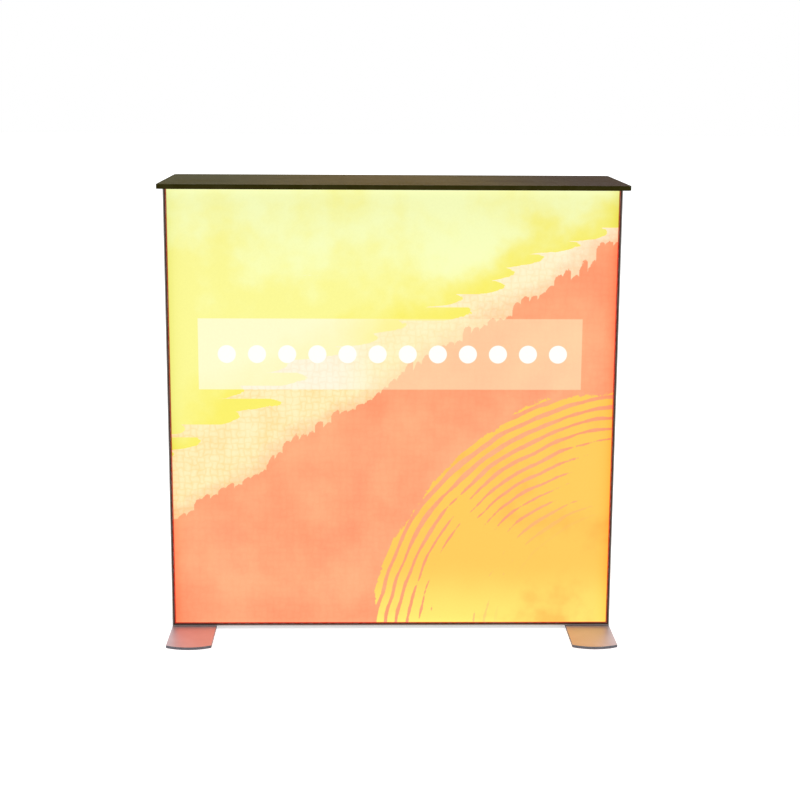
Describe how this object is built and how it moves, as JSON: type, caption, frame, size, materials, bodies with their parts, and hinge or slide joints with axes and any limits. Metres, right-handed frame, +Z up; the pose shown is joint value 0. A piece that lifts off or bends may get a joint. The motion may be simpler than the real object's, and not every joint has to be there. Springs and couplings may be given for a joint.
{
  "type": "illuminated fabric display counter",
  "caption": "Free-standing square light box counter: mitred aluminium frame, lit fabric faces, a dark overhanging top board and flat swivel feet.",
  "frame": {"origin": "floor level, midway between the feet, under the middle of the frame", "axes": "+Z up; -Y is the front face that the picture shows; +X is to the right seen from the front"},
  "size_m": [1, 0.4, 1.0185],
  "materials": {
    "anodised_frame": "satin natural anodised extrusion, fine lines along its length",
    "black_nylon": "moulded glass-filled nylon, fine grain",
    "button_steel": "turned steel, fine rings",
    "spring_steel": "drawn wire, oiled",
    "zinc_steel": "bright zinc plate",
    "light_bar_board": "white solder resist, satin",
    "lens": "clear moulded acrylic, lit from behind",
    "plug_nylon": "natural nylon",
    "psu_aluminium": "brushed, clear anodised",
    "black_plastic": "moulded, fine spark texture",
    "circuit_board": "green solder resist",
    "contact_brass": "stamped, slightly dull",
    "rocker_red": "translucent moulded, polished",
    "fuse_glass": "clear glass with plated caps",
    "lead_pvc": "soft PVC sheath, satin",
    "clip_nylon": "natural nylon",
    "front_print": "backlit dye-printed knitted polyester, paint-stroke print in yellow, coral, orange and cream",
    "back_print": "backlit dye-printed knitted polyester, the same print as the front",
    "keder_silicone": "silicone strip under the printed hem, in the groove's shadow",
    "tab_fabric": "woven tape",
    "counter_laminate": "fibreboard faced with dark matte laminate",
    "edge_band": "black ABS edging, satin",
    "plate_steel": "laser-cut, zinc plated",
    "foot_steel": "satin silver plate with a bright ground edge",
    "pad_rubber": "die-cut rubber, matte",
    "glide_nylon": "turned white nylon"
  },
  "bodies": {
    "frame": {"top_profile": "anodised_frame", "bottom_profile": "anodised_frame", "left_profile": "anodised_frame", "right_profile": "anodised_frame", "corner_connector_bottom_left": "black_nylon", "corner_connector_bottom_right": "black_nylon", "corner_connector_top_left": "black_nylon", "corner_connector_top_right": "black_nylon", "corner_screws": "zinc_steel", "button_spring_bottom_left": "spring_steel", "button_spring_bottom_right": "spring_steel", "button_spring_top_left": "spring_steel", "button_spring_top_right": "spring_steel", "led_bar_top": "light_bar_board", "led_bar_bottom": "light_bar_board", "led_lenses_top": "lens", "led_lenses_bottom": "lens", "led_bar_screws": "zinc_steel", "led_plugs": "plug_nylon", "psu_case": "psu_aluminium", "psu_cap_lower": "black_plastic", "psu_cap_upper": "black_plastic", "psu_board": "circuit_board", "psu_screws": "zinc_steel", "inlet_housing": "black_plastic", "inlet_pins": "contact_brass", "inlet_boot": "black_plastic", "mains_lead": "lead_pvc", "led_lead_top": "lead_pvc", "led_lead_bottom": "lead_pvc", "lead_clips": "clip_nylon", "foot_bolt_left": "zinc_steel", "foot_bolt_right": "zinc_steel", "foot_washer_left": "glide_nylon", "foot_washer_right": "glide_nylon", "foot_stop_pins": "zinc_steel"},
    "counter": {"counter_board": "counter_laminate", "counter_edge_band": "edge_band", "peg_plates": "plate_steel", "counter_pegs": "zinc_steel", "counter_screws": "zinc_steel"},
    "front_face": {"front_graphic": "front_print", "front_keder": "keder_silicone", "front_pull_tab": "tab_fabric"},
    "back_face": {"back_graphic": "back_print", "back_keder": "keder_silicone", "back_pull_tab": "tab_fabric"},
    "left_foot": {"foot_plate_left": "foot_steel", "foot_pads_left": "pad_rubber"},
    "right_foot": {"foot_plate_right": "foot_steel", "foot_pads_right": "pad_rubber"},
    "rocker": {"rocker_switch": "rocker_red"},
    "fuse_holder": {"fuse_drawer": "black_plastic", "fuse": "fuse_glass"},
    "button_bottom_left": {"snap_button_bottom_left": "button_steel"},
    "button_bottom_right": {"snap_button_bottom_right": "button_steel"},
    "button_top_left": {"snap_button_top_left": "button_steel"},
    "button_top_right": {"snap_button_top_right": "button_steel"}
  },
  "joints": [
    {"name": "counter_lift", "type": "slide", "parent": "frame", "child": "counter", "axis": [0, 0, 1], "range_m": [0, 0.1]},
    {"name": "front_face_pull", "type": "slide", "parent": "frame", "child": "front_face", "axis": [0, -1, 0], "range_m": [0, 0.15]},
    {"name": "back_face_pull", "type": "slide", "parent": "frame", "child": "back_face", "axis": [0, 1, 0], "range_m": [0, 0.15]},
    {"name": "left_foot_swivel", "type": "hinge", "parent": "frame", "child": "left_foot", "pos_m": [-0.45, 0, 0.0075], "axis": [0, 0, 1], "range_deg": [0, 90]},
    {"name": "right_foot_swivel", "type": "hinge", "parent": "frame", "child": "right_foot", "pos_m": [0.45, 0, 0.0075], "axis": [0, 0, 1], "range_deg": [-90, 0]},
    {"name": "rocker_tip", "type": "hinge", "parent": "frame", "child": "rocker", "pos_m": [0.4955, 0, 0.153], "axis": [0, 1, 0], "range_deg": [-16, 0]},
    {"name": "fuse_drawer_slide", "type": "slide", "parent": "frame", "child": "fuse_holder", "axis": [1, 0, 0], "range_m": [0, 0.018]},
    {"name": "button_bottom_left_press", "type": "slide", "parent": "frame", "child": "button_bottom_left", "axis": [1, 0, 0], "range_m": [0, 0.004], "stiffness_N_per_m": 900, "springref_m": -0.003, "deforming": ["button_spring_bottom_left"]},
    {"name": "button_bottom_right_press", "type": "slide", "parent": "frame", "child": "button_bottom_right", "axis": [-1, 0, 0], "range_m": [0, 0.004], "stiffness_N_per_m": 900, "springref_m": -0.003, "deforming": ["button_spring_bottom_right"]},
    {"name": "button_top_left_press", "type": "slide", "parent": "frame", "child": "button_top_left", "axis": [1, 0, 0], "range_m": [0, 0.004], "stiffness_N_per_m": 900, "springref_m": -0.003, "deforming": ["button_spring_top_left"]},
    {"name": "button_top_right_press", "type": "slide", "parent": "frame", "child": "button_top_right", "axis": [-1, 0, 0], "range_m": [0, 0.004], "stiffness_N_per_m": 900, "springref_m": -0.003, "deforming": ["button_spring_top_right"]}
  ]
}
